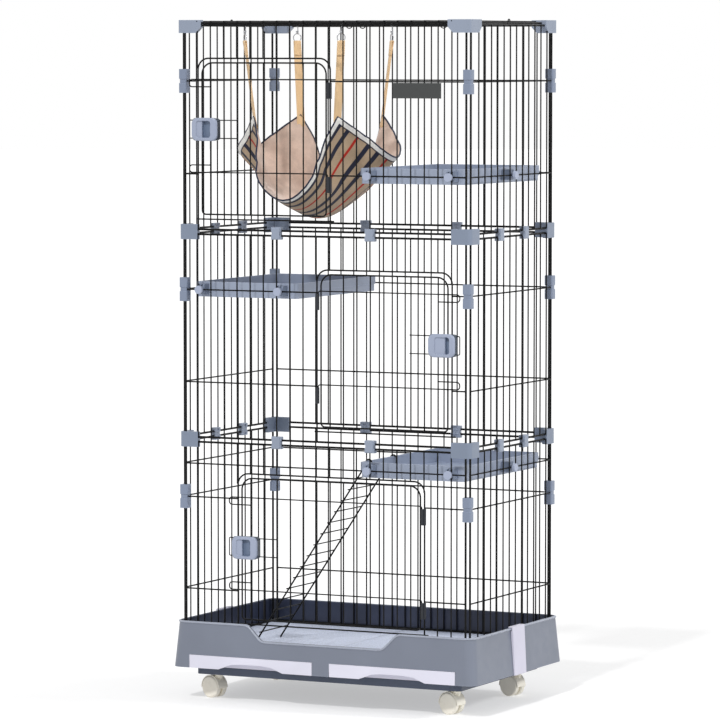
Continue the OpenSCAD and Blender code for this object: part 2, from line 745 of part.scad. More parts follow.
// block that carries the shelf on the cross wire, drawn at the front
module shelf_block(reach) {
    difference() {
        translate([-10, front_y - 1, -11]) cube([20, reach + 0.9, 25]);
        translate([0, front_y + bar_y + 5, 0]) rotate([90, 0, 0]) cylinder(d = 8.8, h = 10, $fn = 32);
        wire_x(-20, 20, front_y + cross_y, 0, cross_d + 2 * fine);
        for (x = [-4, 4]) translate([x, front_y, 12]) rotate([0, 20, 0]) cube([3, 30, 8], center = true);
    }
}

module shelf_knobs() {
    color([0.82, 0.85, 0.92])
    for (n = [1:3]) {
        at_shelf_clips(n) shelf_knob();
        at_shelf_side_clip(n) shelf_knob();
    }
}

module shelf_blocks() {
    color([0.16, 0.19, 0.28])
    for (n = [1:3]) {
        at_shelf_clips(n) shelf_block(shelf_gap);
        at_shelf_side_clip(n) shelf_block(shelf_side_gap);
    }
}

// Ladder

module ladder() {
    foot_x = 153 - half_w;
    mid_y = front_y + 138;
    foot_z = deck_z + 1.2;
    top_x = shelf_x - shelf_w / 2 - 5.5;
    top_z = shelf_z(1) + shelf_h / 2 - 10.4;
    run = top_x - foot_x;
    rise = top_z - foot_z;
    len = sqrt(run * run + rise * rise);
    color([0.1, 0.1, 0.11])
    union() {
        for (y = [mid_y - 68, mid_y + 68]) {
            translate([foot_x, y, foot_z]) rotate([0, atan2(run, rise), 0]) cylinder(d = 4, h = len, $fn = 24);
            // hook over the shelf wall
            translate([top_x, y, top_z]) sphere(d = 5, $fn = 24);
            wire_z(top_x, y, top_z, top_z + 5, 4);
            translate([top_x + 8, y, top_z + 5]) rotate([90, 0, 0])
                rotate_extrude(angle = 180, $fn = 48) translate([8, 0]) circle(d = 4, $fn = 24);
            wire_z(top_x + 16, y, top_z - 12, top_z + 5, 4);
        }
        for (k = [0:rungs - 1]) {
            s = 0.06 + 0.86 * k / (rungs - 1);
            wire_y(foot_x + run * s - 2.9 * rise / len, mid_y - 74, mid_y + 74,
                foot_z + rise * s + 2.9 * run / len, 3);
        }
    }
}

module nameplate() {
    color([0.16, 0.16, 0.18])
    translate([188, front_y + bar_y - bar_d / 2 - 1.85, wire_z + 2 * tier_h + high_cross - 39.5]) cube([127, 1.8, 37]);
}

// Hammock

hook_x = 3 * pitch + 3 - half_w;
ring_z = roof_z - 35;
ring_r = 10;
cloth_n = 22;
cloth_t = 4;
cloth_top = roof_z - cloth_drop;
front_sag = 185;
side_sag = 132;
deep_sag = 256;
bulge = 58;

// corner of the cloth, i along the front and j from front to back, both 0 or 1
function cloth_corner(i, j) = [hook_x + 17 + i * (sling_x - 34), (2 * j - 1) * (sling_y / 2 - 15), cloth_top];
function bow(u) = 4 * u * (1 - u);
// gathers that run in from the corners and fade towards the middle
function gather(s, t) = 5 * sin(180 * s) * sin(180 * t) * cos(1080 * (s - t)) * cos(540 * (s + t - 1));
function cloth_sag(s, t) = front_sag * bow(s) + side_sag * bow(t) - (front_sag + side_sag - deep_sag) * bow(s) * bow(t);
// edges swing outwards where they hang lowest, so the corners hang as flat points
function swing_out(u, v) = -bulge * bow(u) * (1 - 2 * v) * abs(1 - 2 * v);
function cloth_at(s, t) = [
    hook_x + 17 + (sling_x - 34) * s + 0.8 * swing_out(t, s),
    (sling_y - 30) * (t - 0.5) + swing_out(s, t),
    cloth_top - cloth_sag(s, t) + gather(s, t)];
function unit(v) = v / norm(v);
function cloth_normal(s, t) = unit(cross(
    cloth_at(min(1, s + 0.01), t) - cloth_at(max(0, s - 0.01), t),
    cloth_at(s, min(1, t + 0.01)) - cloth_at(s, max(0, t - 0.01))));

// hook over a roof wire with the ring that holds a strap
module hook_and_ring(turn) {
    rotate([90, 0, 90]) rotate_extrude(angle = 180, $fn = 48) translate([3.4, 0]) circle(d = 2.4, $fn = 24);
    wire_z(0, -3.4, -8, 0, 2.4);
    wire_z(0, 3.4, -27.5, 0, 2.4);
    // pivot block of the snap hook
    translate([0, 0, -24]) cylinder(d = 7, h = 5, $fn = 32);
    translate([0, 0, ring_z - roof_z - 1]) rotate([90, 0, turn])
        rotate_extrude($fn = 48) translate([ring_r, 0]) circle(d = 2.4, $fn = 24);
}

module hammock_hooks() {
    color([0.6, 0.6, 0.62])
    for (i = [0, 1]) for (j = [0, 1])
        translate([hook_x + i * sling_x, (2 * j - 1) * sling_y / 2, roof_z + 1]) hook_and_ring(i == j ? -45 : 45);
}

// webbing strap from a ring down to a corner of the cloth
module strap(i, j) {
    top = [hook_x + i * sling_x, (2 * j - 1) * sling_y / 2, ring_z - ring_r - 2];
    low = cloth_corner(i, j) + [0, 0, 0.7];
    d = top - low;
    turn = i == j ? -45 : 45;
    lean = atan2(norm([d[0], d[1]]), d[2]);
    color([0.89, 0.73, 0.54])
    translate(low) rotate([0, 0, atan2(d[1], d[0])]) rotate([0, lean, 0]) rotate([0, 0, turn - atan2(d[1], d[0])])
        translate([-12.5, -1, 0]) cube([25, 2, norm(d)]);
}

// square of lined cloth hung by its corners; a closed skin of two layers
module hammock_cloth() {
    n = cloth_n;
    m = n + 1;
    upper = [for (a = [0:n]) for (b = [0:n]) cloth_at(a / n, b / n)];
    lower = [for (a = [0:n]) for (b = [0:n]) cloth_at(a / n, b / n) - cloth_t * cloth_normal(a / n, b / n)];
    off = m * m;
    faces_up = [for (a = [0:n - 1]) for (b = [0:n - 1]) each
        [[a * m + b, a * m + b + 1, (a + 1) * m + b + 1], [a * m + b, (a + 1) * m + b + 1, (a + 1) * m + b]]];
    faces_low = [for (f = faces_up) [f[0] + off, f[2] + off, f[1] + off]];
    rim = concat([for (a = [0:n - 1]) a * m], [for (b = [0:n - 1]) n * m + b],
        [for (a = [n:-1:1]) a * m + n], [for (b = [n:-1:1]) b]);
    count = len(rim);
    faces_rim = [for (k = [0:count - 1]) each
        [[rim[k], rim[(k + 1) % count], rim[(k + 1) % count] + off], [rim[k], rim[(k + 1) % count] + off, rim[k] + off]]];
    color([0.65, 0.54, 0.42])
    polyhedron(points = concat(upper, lower), faces = concat(faces_up, faces_low, faces_rim), convexity = 6);
}

base_tray();
tray_liner();
floor_boards();
base_plate();
drawer_left();
drawer_right();
side_clasps();
caster_fork(-1, -1);  // caster_fork_fl
caster_fork(1, -1);  // caster_fork_fr
caster_fork(-1, 1);  // caster_fork_bl
caster_fork(1, 1);  // caster_fork_br
caster_wheels(-1, -1);  // caster_wheels_fl
caster_wheels(1, -1);  // caster_wheels_fr
caster_wheels(-1, 1);  // caster_wheels_bl
caster_wheels(1, 1);  // caster_wheels_br
panel_front(1);  // panel_front_1
panel_front(2);  // panel_front_2
panel_front(3);  // panel_front_3
panel_back(1);  // panel_back_1
panel_back(2);  // panel_back_2
panel_back(3);  // panel_back_3
panel_left(1);  // panel_left_1
panel_left(2);  // panel_left_2
panel_left(3);  // panel_left_3
panel_right(1);  // panel_right_1
panel_right(2);  // panel_right_2
panel_right(3);  // panel_right_3
panel_roof();
door(1);  // door_1
door(2);  // door_2
door(3);  // door_3
hinges(1);  // hinges_1
hinges(2);  // hinges_2
hinges(3);  // hinges_3
latch(1);  // latch_1
latch(2);  // latch_2
latch(3);  // latch_3
top_caps();
tier_corners();
post_clips();
rail_clips();
shelf(1);  // shelf_low
shelf(2);  // shelf_mid
shelf(3);  // shelf_top
shelf_knobs();
shelf_blocks();
ladder();
nameplate();
hammock_hooks();
strap(0, 0);  // strap_fl
strap(1, 0);  // strap_fr
strap(0, 1);  // strap_bl
strap(1, 1);  // strap_br
hammock_cloth();
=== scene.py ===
# Dresses the three-tier wire cat cage: camera, materials and studio, and the pieces that are
# made here, which are the hammock with its straps, the tray's rolled lip and the latch shells.
# All sizes are in metres, and angles that are written as numbers are in degrees.
import json
import math

import bmesh
import bpy
import numpy as np
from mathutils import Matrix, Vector


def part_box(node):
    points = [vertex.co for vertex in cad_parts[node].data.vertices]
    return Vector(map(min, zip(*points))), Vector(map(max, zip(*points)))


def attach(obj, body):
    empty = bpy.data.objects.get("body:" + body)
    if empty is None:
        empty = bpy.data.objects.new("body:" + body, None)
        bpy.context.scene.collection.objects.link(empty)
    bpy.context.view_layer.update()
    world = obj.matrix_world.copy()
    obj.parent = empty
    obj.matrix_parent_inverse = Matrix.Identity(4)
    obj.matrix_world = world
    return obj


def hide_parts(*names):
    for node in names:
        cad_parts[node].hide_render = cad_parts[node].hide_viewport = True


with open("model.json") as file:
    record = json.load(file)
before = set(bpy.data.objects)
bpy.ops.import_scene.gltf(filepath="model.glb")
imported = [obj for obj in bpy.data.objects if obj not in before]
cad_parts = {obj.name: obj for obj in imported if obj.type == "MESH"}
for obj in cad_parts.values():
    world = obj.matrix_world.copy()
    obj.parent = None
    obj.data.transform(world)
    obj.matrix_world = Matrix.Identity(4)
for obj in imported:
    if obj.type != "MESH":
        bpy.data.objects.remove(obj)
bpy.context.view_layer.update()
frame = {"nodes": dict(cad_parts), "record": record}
scene = bpy.context.scene
nodes = frame["nodes"]

TINY = 1e-9  # keeps a divisor off zero


def heading(azimuth, height):
    """Unit vector away from the cage, azimuth round from its front and height above level."""
    a, h = math.radians(azimuth), math.radians(height)
    return Vector((math.sin(a) * math.cos(h), -math.cos(a) * math.cos(h), math.sin(h)))


def middle(values):
    return (min(values) + max(values)) / 2


def smooth(x, low, high):
    """Rises from 0 at low to 1 at high, level at both ends."""
    f = min(1.0, max(0.0, (x - low) / (high - low)))
    return f * f * (3 - 2 * f)


def parts_of(count, first=0):
    """Even parts of a stretch, from the first one up to the whole."""
    return [k / count for k in range(first, count + 1)]


def add_object(name, data):
    made = bpy.data.objects.new(name, data)
    scene.collection.objects.link(made)
    return made


# Camera: a long lens in front and to the right of the cage, a little above its middle
SENSOR_MM = 36.0
LENS_MM = 226.94
AZIMUTH = 26.373
PITCH = 3.950
DISTANCE = 11.1654
TARGET = Vector((-0.0225, 0.0, 0.833))
FARTHEST_SEEN = 200.0


def make_camera():
    back = heading(AZIMUTH, PITCH)
    data = bpy.data.cameras.new("camera")
    data.sensor_width = SENSOR_MM
    data.lens = LENS_MM
    data.clip_end = FARTHEST_SEEN
    camera = add_object("camera", data)
    camera.location = TARGET + back * DISTANCE
    camera.rotation_mode = "QUATERNION"
    camera.rotation_quaternion = (-back).to_track_quat("-Z", "Y")
    scene.camera = camera


def linear(c):
    """Light of a screen value, by the sRGB curve."""
    return c / 12.92 if c <= 0.04045 else ((c + 0.055) / 1.055) ** 2.4


def rgb(code):
    """Colour for a shader, from the code that it has on a screen."""
    return [linear(int(code[i : i + 2], 16) / 255) for i in (0, 2, 4)] + [1.0]


def shade(colour, gain):
    return [min(1.0, c * gain) for c in colour[:3]] + [1.0]


# Cosine between true and rounded normal where an edge starts to show, and where it is full
EDGE_COSINES = (0.995, 0.90)


class Look:
    """A node material: makes nodes, links them and keeps its shader at hand."""

    def __init__(self, name):
        self.mat = bpy.data.materials.new(name)
        self.mat.use_nodes = True
        self.tree = self.mat.node_tree
        self.shader = self.tree.nodes["Principled BSDF"]
        self.out = self.tree.nodes["Material Output"]

    def node(self, kind, **settings):
        made = self.tree.nodes.new(kind)
        for key, value in settings.items():
            setattr(made, key, value)
        return made

    def set(self, socket, value):
        if isinstance(value, bpy.types.NodeSocket):
            self.tree.links.new(value, socket)
        else:
            socket.default_value = value

    def where(self, kind="Object"):
        return self.node("ShaderNodeTexCoord").outputs[kind]

    def flat(self):
        """The two places of a point on its flat cloth or strap, in metres."""
        parts = self.node("ShaderNodeSeparateXYZ")
        self.set(parts.inputs[0], self.where("UV"))
        return parts.outputs[0], parts.outputs[1]

    def noise(self, at, scale, detail=2.0, rough=0.5):
        made = self.node("ShaderNodeTexNoise")
        self.set(made.inputs["Vector"], at)
        made.inputs["Scale"].default_value = scale
        made.inputs["Detail"].default_value = detail
        made.inputs["Roughness"].default_value = rough
        return made.outputs["Fac"]

    def math(self, kind, a, b=0.0):
        made = self.node("ShaderNodeMath", operation=kind)
        self.set(made.inputs[0], a)
        self.set(made.inputs[1], b)
        return made.outputs[0]

    def span(self, value, low, high, to_low=0.0, to_high=1.0):
        """Value from low to high as from to_low to to_high, and no further."""
        made = self.node("ShaderNodeMapRange")
        for socket, given in zip(made.inputs, (value, low, high, to_low, to_high)):
            self.set(socket, given)
        return made.outputs[0]

    def mix(self, factor, a, b):
        made = self.node("ShaderNodeMix", data_type="RGBA")
        for socket, given in zip((made.inputs[0], made.inputs[6], made.inputs[7]), (factor, a, b)):
            self.set(socket, given)
        return made.outputs[2]

    def bump(self, height, distance, strength, normal=None):
        made = self.node("ShaderNodeBump")
        made.inputs["Strength"].default_value = strength
        made.inputs["Distance"].default_value = distance
        self.set(made.inputs["Height"], height)
        if normal is not None:
            self.set(made.inputs["Normal"], normal)
        return made.outputs[0]

    def round_edges(self, radius):
        made = self.node("ShaderNodeBevel", samples=4)
        made.inputs["Radius"].default_value = radius
        return made.outputs[0]

    def edge_mask(self, radius):
        """1 on sharp edges, where a pale highlight and some rub are painted, and 0 elsewhere."""
        dot = self.node("ShaderNodeVectorMath", operation="DOT_PRODUCT")
        self.set(dot.inputs[0], self.round_edges(radius))
        self.set(dot.inputs[1], self.node("ShaderNodeNewGeometry").outputs["Normal"])
        return self.span(dot.outputs["Value"], *EDGE_COSINES)

    def finish(self, colour, roughness, normal):
        """Gives the shader its colour, roughness and normal, and returns the material."""
        self.set(self.shader.inputs["Base Color"], colour)
        self.set(self.shader.inputs["Roughness"], roughness)
        self.set(self.shader.inputs["Normal"], normal)
        return self.mat


# Noise of the materials, in waves per metre
WAVES = {
    "cloud": 7.0,
    "speckle": 260.0,
    "gloss": 40.0,
    "spark_grain": 1500.0,
    "wire_tone": 55.0,
    "wire_gloss": 160.0,
    "orange_peel": 900.0,
    "haze": 90.0,
    "metal_grain": 700.0,
    "cloth_tone": 28.0,
    "crease": 34.0,
    "nap": 26.0,
    "tuft": 900.0,
    "webbing_wear": 60.0,
}
# most of a noise lies between these two values
MOST = (0.3, 0.7)
SPECKLE_RANGE = (0.42, 0.62)
SPECKLE_GAIN = 1.35
# the painted highlight on an edge, which also stands for rub, is wider than the rounding that it lies on,
# and paler than the plastic
RUB_AND_HIGHLIGHT_WIDTH = 1.6
RUB_AND_HIGHLIGHT_GAIN = 1.9


def plastic(name, code, rough=0.42, grain=0.00004, edge=0.0011, pale=0.35, cloudy=0.05, speckle=0.0):
    """Moulded plastic: clouded colour, fine spark grain, rounded edges with a painted pale highlight and
    some rub.
    """
    look = Look(name)
    at = look.where()
    base = rgb(code)
    cloud = look.span(look.noise(at, WAVES["cloud"], detail=3.0), *MOST)
    colour = look.mix(cloud, shade(base, 1 - cloudy), shade(base, 1 + cloudy))
    if speckle:
        dots = look.span(look.noise(at, WAVES["speckle"]), *SPECKLE_RANGE)
        colour = look.mix(look.math("MULTIPLY", dots, speckle), colour, shade(base, SPECKLE_GAIN))
    # painted highlight along the edges, with some rub: the colour pales there, by pale
    rub_and_highlight = look.math("MULTIPLY", look.edge_mask(edge * RUB_AND_HIGHLIGHT_WIDTH), pale)
    colour = look.mix(rub_and_highlight, colour, shade(base, RUB_AND_HIGHLIGHT_GAIN))
    gloss = look.span(look.noise(at, WAVES["gloss"], detail=4.0), *MOST, rough - 0.06, rough + 0.07)
    fine = look.noise(at, WAVES["spark_grain"], detail=1.0)
    look.shader.inputs["Specular IOR Level"].default_value = 0.45
    return look.finish(colour, gloss, look.bump(fine, grain, strength=0.6, normal=look.round_edges(edge)))


ORANGE_PEEL_DEEP = 0.00006


def coated_wire(name, code, rough):
    """Powder-coated wire: orange-peel skin with uneven gloss."""
    look = Look(name)
    at = look.where()
    base = rgb(code)
    tone = look.span(look.noise(at, WAVES["wire_tone"], detail=3.0), 0.35, 0.7)
    gloss = look.span(look.noise(at, WAVES["wire_gloss"]), *MOST, rough - 0.08, rough + 0.12)
    peel = look.noise(at, WAVES["orange_peel"], detail=1.0)
    look.shader.inputs["Specular IOR Level"].default_value = 0.15
    colour = look.mix(tone, base, shade(base, 1.7))
    return look.finish(colour, gloss, look.bump(peel, ORANGE_PEEL_DEEP, strength=0.5))


# brushing: waves per metre across, along and up the cage, which makes long level scratches
BRUSHED = (6.0, 6.0, 900.0)
METAL_GRAIN_DEEP = 0.00004
METAL_EDGE = 0.0006


def bright_metal(name, code, rough=0.2, metallic=1.0, brushed=False):
    """Plated or brushed metal: hazy gloss and rounded edges."""
    look = Look(name)
    at = look.where()
    base = rgb(code)
    haze = look.noise(at, WAVES["haze"], detail=4.0)
    look.shader.inputs["Metallic"].default_value = metallic
    if brushed:
        stretch = look.node("ShaderNodeMapping")
        stretch.inputs["Scale"].default_value = BRUSHED
        look.set(stretch.inputs["Vector"], at)
        height = look.noise(stretch.outputs[0], 1.0)
    else:
        height = look.noise(at, WAVES["metal_grain"])
    colour = look.mix(haze, shade(base, 0.86), shade(base, 1.1))
    gloss = look.span(haze, *MOST, rough - 0.05, rough + 0.1)
    normal = look.bump(height, METAL_GRAIN_DEEP, strength=0.4, normal=look.round_edges(METAL_EDGE))
    return look.finish(colour, gloss, normal)


# Hammock: its cloth laid flat, across and along the cage, and the straps that hold it
CLOTH_SIDES = (0.500, 0.378)
CLOTH_THICK = 0.0032
STRAP_WIDE = 0.020
STRAP_THICK = 0.0016

# Print of the hammock: evenly repeated plain stripes along one direction, and a pale hem
STRIPE_PITCH = 0.092
STRIPES = (("navy", 0.12, 0.24), ("navy", 0.42, 0.54), ("brick", 0.78, 0.85))
STRIPE_BLUR = 0.006  # half a thread, as a part of the pitch
INKS = {"navy": "20263c", "cream": "fffdf8", "brick": "b8261d"}
GROUND = ("b49c80", "c8af94")
SHADE_BETWEEN_THREADS = "4a3c30"
THREAD = 0.0011
THREAD_DEEP = 0.0003
CREASE_DEEP = 0.0016
HEM = 0.013
HEM_LINE = 0.0035
HEM_BLUR = 0.0005


def band(look, value, low, high):
    """1 where value lies between low and high, with thread-wide soft ends."""
    up = look.span(value, low - STRIPE_BLUR, low + STRIPE_BLUR)
    down = look.span(value, high - STRIPE_BLUR, high + STRIPE_BLUR, 1.0, 0.0)
    return look.math("MULTIPLY", up, down)


def weave(look, u, v):
    """Height of a plain weave of threads running both ways."""
    warp = look.math("SINE", look.math("MULTIPLY", u, math.pi / THREAD))
    weft = look.math("SINE", look.math("MULTIPLY", v, math.pi / THREAD))
    return look.math("ABSOLUTE", look.math("MULTIPLY", warp, weft))


def striped_cloth(name):
    """Woven cloth with the printed stripes, the hem and its line."""
    look = Look(name)
    u, v = look.flat()
    at = look.where()
    tone = look.span(look.noise(at, WAVES["cloth_tone"], detail=4.0), *MOST)
    colour = look.mix(tone, rgb(GROUND[0]), rgb(GROUND[1]))
    cycle = look.math("FRACT", look.math("DIVIDE", v, STRIPE_PITCH))
    for ink, low, high in STRIPES:
        colour = look.mix(band(look, cycle, low, high), colour, rgb(INKS[ink]))
    # distance to the nearest edge of the cloth
    edge = look.math("MINIMUM", u, v)
    for coordinate, side in ((u, CLOTH_SIDES[0]), (v, CLOTH_SIDES[1])):
        edge = look.math("MINIMUM", edge, look.math("SUBTRACT", side, coordinate))
    colour = look.mix(look.span(edge, HEM, HEM - HEM_BLUR), colour, rgb(INKS["cream"]))
    off_line = look.math("ABSOLUTE", look.math("SUBTRACT", edge, HEM + HEM_LINE / 2))
    line = look.span(off_line, HEM_LINE / 2, HEM_LINE / 2 - HEM_BLUR)
    colour = look.mix(line, colour, rgb(INKS["navy"]))
    height = weave(look, u, v)
    # painted shade between the threads: darker where the weave is low
    colour = look.mix(look.span(height, 0.0, 0.5, 0.28, 0.0), colour, rgb(SHADE_BETWEEN_THREADS))
    look.shader.inputs["Sheen Weight"].default_value = 0.15
    look.shader.inputs["Specular IOR Level"].default_value = 0.2
    crease = look.bump(look.noise(at, WAVES["crease"], detail=3.0), CREASE_DEEP, strength=0.5)
    normal = look.bump(height, THREAD_DEEP, strength=0.7, normal=crease)
    return look.finish(colour, look.span(height, 0.0, 1.0, 0.95, 0.78), normal)


TUFT_DEEP = 0.0007
NAP_DEEP = 0.003


def plush(name, code):
    """Short pile: mottled with painted light and shade, lighter where the nap rises, darker where it dips
    and between tufts, with a soft sheen.
    """
    look = Look(name)
    at = look.where()
    base = rgb(code)
    nap = look.noise(at, WAVES["nap"], detail=4.0, rough=0.6)
    tuft = look.noise(at, WAVES["tuft"], detail=3.0)
    # painted light and shade: lighter on the rises of the nap's bump, darker in its dips
    colour = look.mix(look.span(nap, 0.32, 0.68), shade(base, 0.84), shade(base, 1.16))
    # painted shade between the tufts, where their bump is lowest
    colour = look.mix(look.span(tuft, 0.35, 0.6, 0.22, 0.0), colour, shade(base, 0.5))
    look.shader.inputs["Sheen Weight"].default_value = 0.5
    look.shader.inputs["Sheen Roughness"].default_value = 0.5
    look.shader.inputs["Specular IOR Level"].default_value = 0.1
    lying = look.bump(nap, NAP_DEEP, strength=0.6)
    return look.finish(colour, 0.95, look.bump(tuft, TUFT_DEEP, strength=0.8, normal=lying))


RIB_PITCH = 0.0016
RIB_DEEP = 0.0004


def webbing(name, code):
    """Herringbone webbing, its ribs following the strap's own width and length."""
    look = Look(name)
    base = rgb(code)
    u, v = look.flat()
    slant = look.math("ADD", v, look.math("PINGPONG", u, STRAP_WIDE / 4))
    rib = look.math("SINE", look.math("MULTIPLY", slant, 2 * math.pi / RIB_PITCH))
    height = look.span(rib, -1.0, 1.0)
    # painted light and shade of the ribs: lighter on their tops, darker in the grooves between them
    colour = look.mix(height, shade(base, 0.84), shade(base, 1.08))
    wear = look.noise(look.where(), WAVES["webbing_wear"], detail=3.0)
    colour = look.mix(look.span(wear, 0.4, 0.8, 0.0, 0.2), colour, shade(base, 0.8))
    look.shader.inputs["Sheen Weight"].default_value = 0.2
    return look.finish(colour, 0.8, look.bump(height, RIB_DEEP, strength=0.8))


# Finish of each record slot, and of the pieces and faces that differ from their slot
FINISH = {
    "tray_grey": plastic("tray_grey", "757b89", rough=0.36, edge=0.0016, pale=0.9),
    "liner_slate": plastic("liner_slate", "353b4e", rough=0.34, cloudy=0.22),
    "floor_pale": plastic("floor_pale", "c0c7d8", rough=0.6, grain=0.0004, speckle=0.9),
    # paler than the tray's grey: a painted highlight along the rolled lip
    "tray_lip_painted_highlight": plastic("tray_lip_painted_highlight", "9ba1af", rough=0.28, edge=0.0008, pale=0.3),
    "plate_slate": plastic("plate_slate", "475062", rough=0.45),
    "drawer_white": plastic("drawer_white", "dcdbe9", rough=0.35, pale=0.2),
    "clasp_white": plastic("clasp_white", "cfcddd", rough=0.38, pale=0.2),
    "caster_ivory": plastic("caster_ivory", "fdf6e8", rough=0.3, pale=0.1),
    "wire_black": coated_wire("wire_black", "070708", rough=0.4),
    "hinge_steel": plastic("hinge_steel", "161a22", rough=0.35),
    "clip_blue": plastic("clip_blue", "8d97a9", rough=0.36, pale=0.45),
    "latch_blue": plastic("latch_blue", "9aa3b8", rough=0.4, edge=0.0006, pale=0.2, cloudy=0.04),
    "clip_dark": plastic("clip_dark", "7d889d", rough=0.36, pale=0.4),
    # a darker copy of the latch blue: painted shade on the back block, which is the same plastic
    "latch_back_painted_shade": plastic("latch_back_painted_shade", "434f5d"),
    # a darker copy of the latch blue: painted shade in the finger hollow
    "latch_hollow_painted_shade": plastic("latch_hollow_painted_shade", "65738a"),
    "corner_blue": plastic("corner_blue", "7b8699", rough=0.36, pale=0.5),
    "shelf_blue": plastic("shelf_blue", "9aa4b8", rough=0.36, pale=0.45),
    "knob_pale": plastic("knob_pale", "a2abc1", rough=0.34),
    "plate_charcoal": bright_metal("plate_charcoal", "3f4141", rough=0.5, metallic=0.3, brushed=True),
    "hook_chrome": bright_metal("hook_chrome", "b9babd"),
    "webbing_tan": webbing("webbing_tan", "ffd4a2"),
}
OWN_FINISH = {"tier_corners": "corner_blue"}


def dress_cad():
    """Puts its finish on each node; the hammock's cloth is replaced and has none."""
    for part in frame["record"]["subparts"]:
        finish = FINISH.get(OWN_FINISH.get(part["node"], part["material_slot"]))
        if finish is None:
            continue
        mesh = nodes[part["node"]].data
        mesh.materials.clear()
        mesh.materials.append(finish)


def add_mesh(name, points, faces, materials, body="cage", closed=True):
    """A smooth piece that rides on a body; the faces of a closed one are turned outward."""
    mesh = bpy.data.meshes.new(name)
    mesh.from_pydata([tuple(p) for p in points], [], faces)
    if closed:
        bm = bmesh.new()
        bm.from_mesh(mesh)
        bmesh.ops.recalc_face_normals(bm, faces=bm.faces)
        bm.to_mesh(mesh)
        bm.free()
    for mat in materials:
        mesh.materials.append(mat)
    mesh.polygons.foreach_set("use_smooth", [True] * len(mesh.polygons))
    made = add_object(name, mesh)
    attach(made, body)
    return made


# The cloth's grid, and how far below its top a point of the solid is still one of its ends
CLOTH_CELLS = 40
PIN_REACH = 0.012


def cloth_pins():
    """The cloth's four upper ends, where the straps hold it: left and right, each front and back."""
    verts = np.array([v.co for v in nodes["hammock_cloth"].data.vertices])
    top = verts[verts[:, 2] > verts[:, 2].max() - PIN_REACH]
    centre = (top.max(0) + top.min(0)) / 2
    pins = []
    for i in (-1, 1):
        row = []
        for j in (-1, 1):
            near = top[(np.sign(top[:, 0] - centre[0]) == i) & (np.sign(top[:, 1] - centre[1]) == j)]
            row.append(near[np.argmax(near[:, 2])])
        pins.append(row)
    return pins


# Springs of the cloth, as cells across, cells along and strength; the stiffeners reach over
# several cells and only push, so they keep the cloth from folding small
THREADS = ((1, 0, 1.0), (0, 1, 1.0), (1, 1, 0.12), (1, -1, 0.12))
STIFF_WAYS = ((1, 0, 0.15), (0, 1, 0.25), (1, 1, 0.06), (1, -1, 0.06))
STIFF_REACHES = (2, 5, 10)
STIFFENERS = [(r * a, r * b, gain) for r in STIFF_REACHES for a, b, gain in STIFF_WAYS]
# the sewn edges are a little shorter than the cloth and draw in, across and along
SEAM_PULL = (5.0, 8.0)
SEAM_REACH = 0.12
FIRST_SAG = 0.7
GRAVITY = 9.81
KEPT_SPEED = 0.965


def cloth_links(cells, size):
    """Index pairs of all springs, in groups whose members share no point."""
    links = []
    for group, only_push in ((THREADS, False), (STIFFENERS, True)):
        for di, dj, gain in group:
            span = di or dj
            for turn in (0, 1):
                rows = np.arange(cells + 1 - di)
                cols = np.arange(max(0, -dj), cells + 1 - max(0, dj))
                if di:
                    rows = rows[rows // span % 2 == turn]
                else:
                    cols = cols[cols // span % 2 == turn]
                rest = math.hypot(di * size[0], dj * size[1]) / cells
                ends = np.ix_(rows, cols), np.ix_(rows + di, cols + dj)
                links.append((*ends, rest, gain, only_push))
    return links


def lengths(vectors):
    return np.linalg.norm(vectors, axis=-1, keepdims=True) + TINY


def hang_cloth(pins, size, cells, steps=120, sweeps=8, tick=1 / 60):
    """Lets a lined cloth fall under its own weight from its four corners."""
    u = np.linspace(0, 1, cells + 1)
    s, t = np.meshgrid(u, u, indexing="ij")
    flat = np.stack([s, t], -1) * np.array(size)
    corners = [(i, j, np.array(pins[i][j], float)) for i in (0, 1) for j in (0, 1)]
    at = sum(((s if i else 1 - s) * (t if j else 1 - t))[..., None] * c for i, j, c in corners)
    at[..., 2] -= FIRST_SAG * (s * (1 - s) + t * (1 - t))
    free = np.ones((cells + 1, cells + 1, 1))
    for i, j, _ in corners:
        free[i * cells, j * cells] = 0
    links = cloth_links(cells, size)
    # no point gets further from a corner than it is on the flat cloth
    tethers = []
    for i, j, c in corners:
        tethers.append((c, np.linalg.norm(flat - np.array([i, j]) * size, axis=-1)[..., None]))
    seam = np.zeros_like(at)
    for axis, (across, along) in enumerate(((s, t), (t, s))):
        inward = np.exp(-across / SEAM_REACH) - np.exp((across - 1) / SEAM_REACH)
        seam[..., axis] = SEAM_PULL[axis] * inward * 4 * along * (1 - along)
    speed = np.zeros_like(at)
    for _ in range(steps):
        speed += seam * tick
        speed[..., 2] -= GRAVITY * tick
        speed *= KEPT_SPEED
        new = at + speed * tick * free
        for _ in range(sweeps):
            for c, reach in tethers:
                away = new - c
                new -= away * np.maximum(1 - reach / lengths(away), 0) * free
            for a, b, rest, gain, only_push in links:
                along = new[b] - new[a]
                length = lengths(along)
                stretch = np.minimum(length - rest, 0) if only_push else length - rest
                pull = gain * stretch / length / np.maximum(free[a] + free[b], 1) * along
                new[a] = new[a] + free[a] * pull
                new[b] = new[b] - free[b] * pull
        speed = (new - at) / tick
        at = new
    return at


def grid_faces(rows, cols):
    return [
        (r * cols + c, (r + 1) * cols + c, (r + 1) * cols + c + 1, r * cols + c + 1)
        for r in range(rows - 1)
        for c in range(cols - 1)
    ]


def set_uv(obj, flat):
    """Gives each point the place it had on the flat cloth, in metres."""
    layer = obj.data.uv_layers.new(name="flat")
    for loop in obj.data.loops:
        layer.data[loop.index].uv = flat[loop.vertex_index]


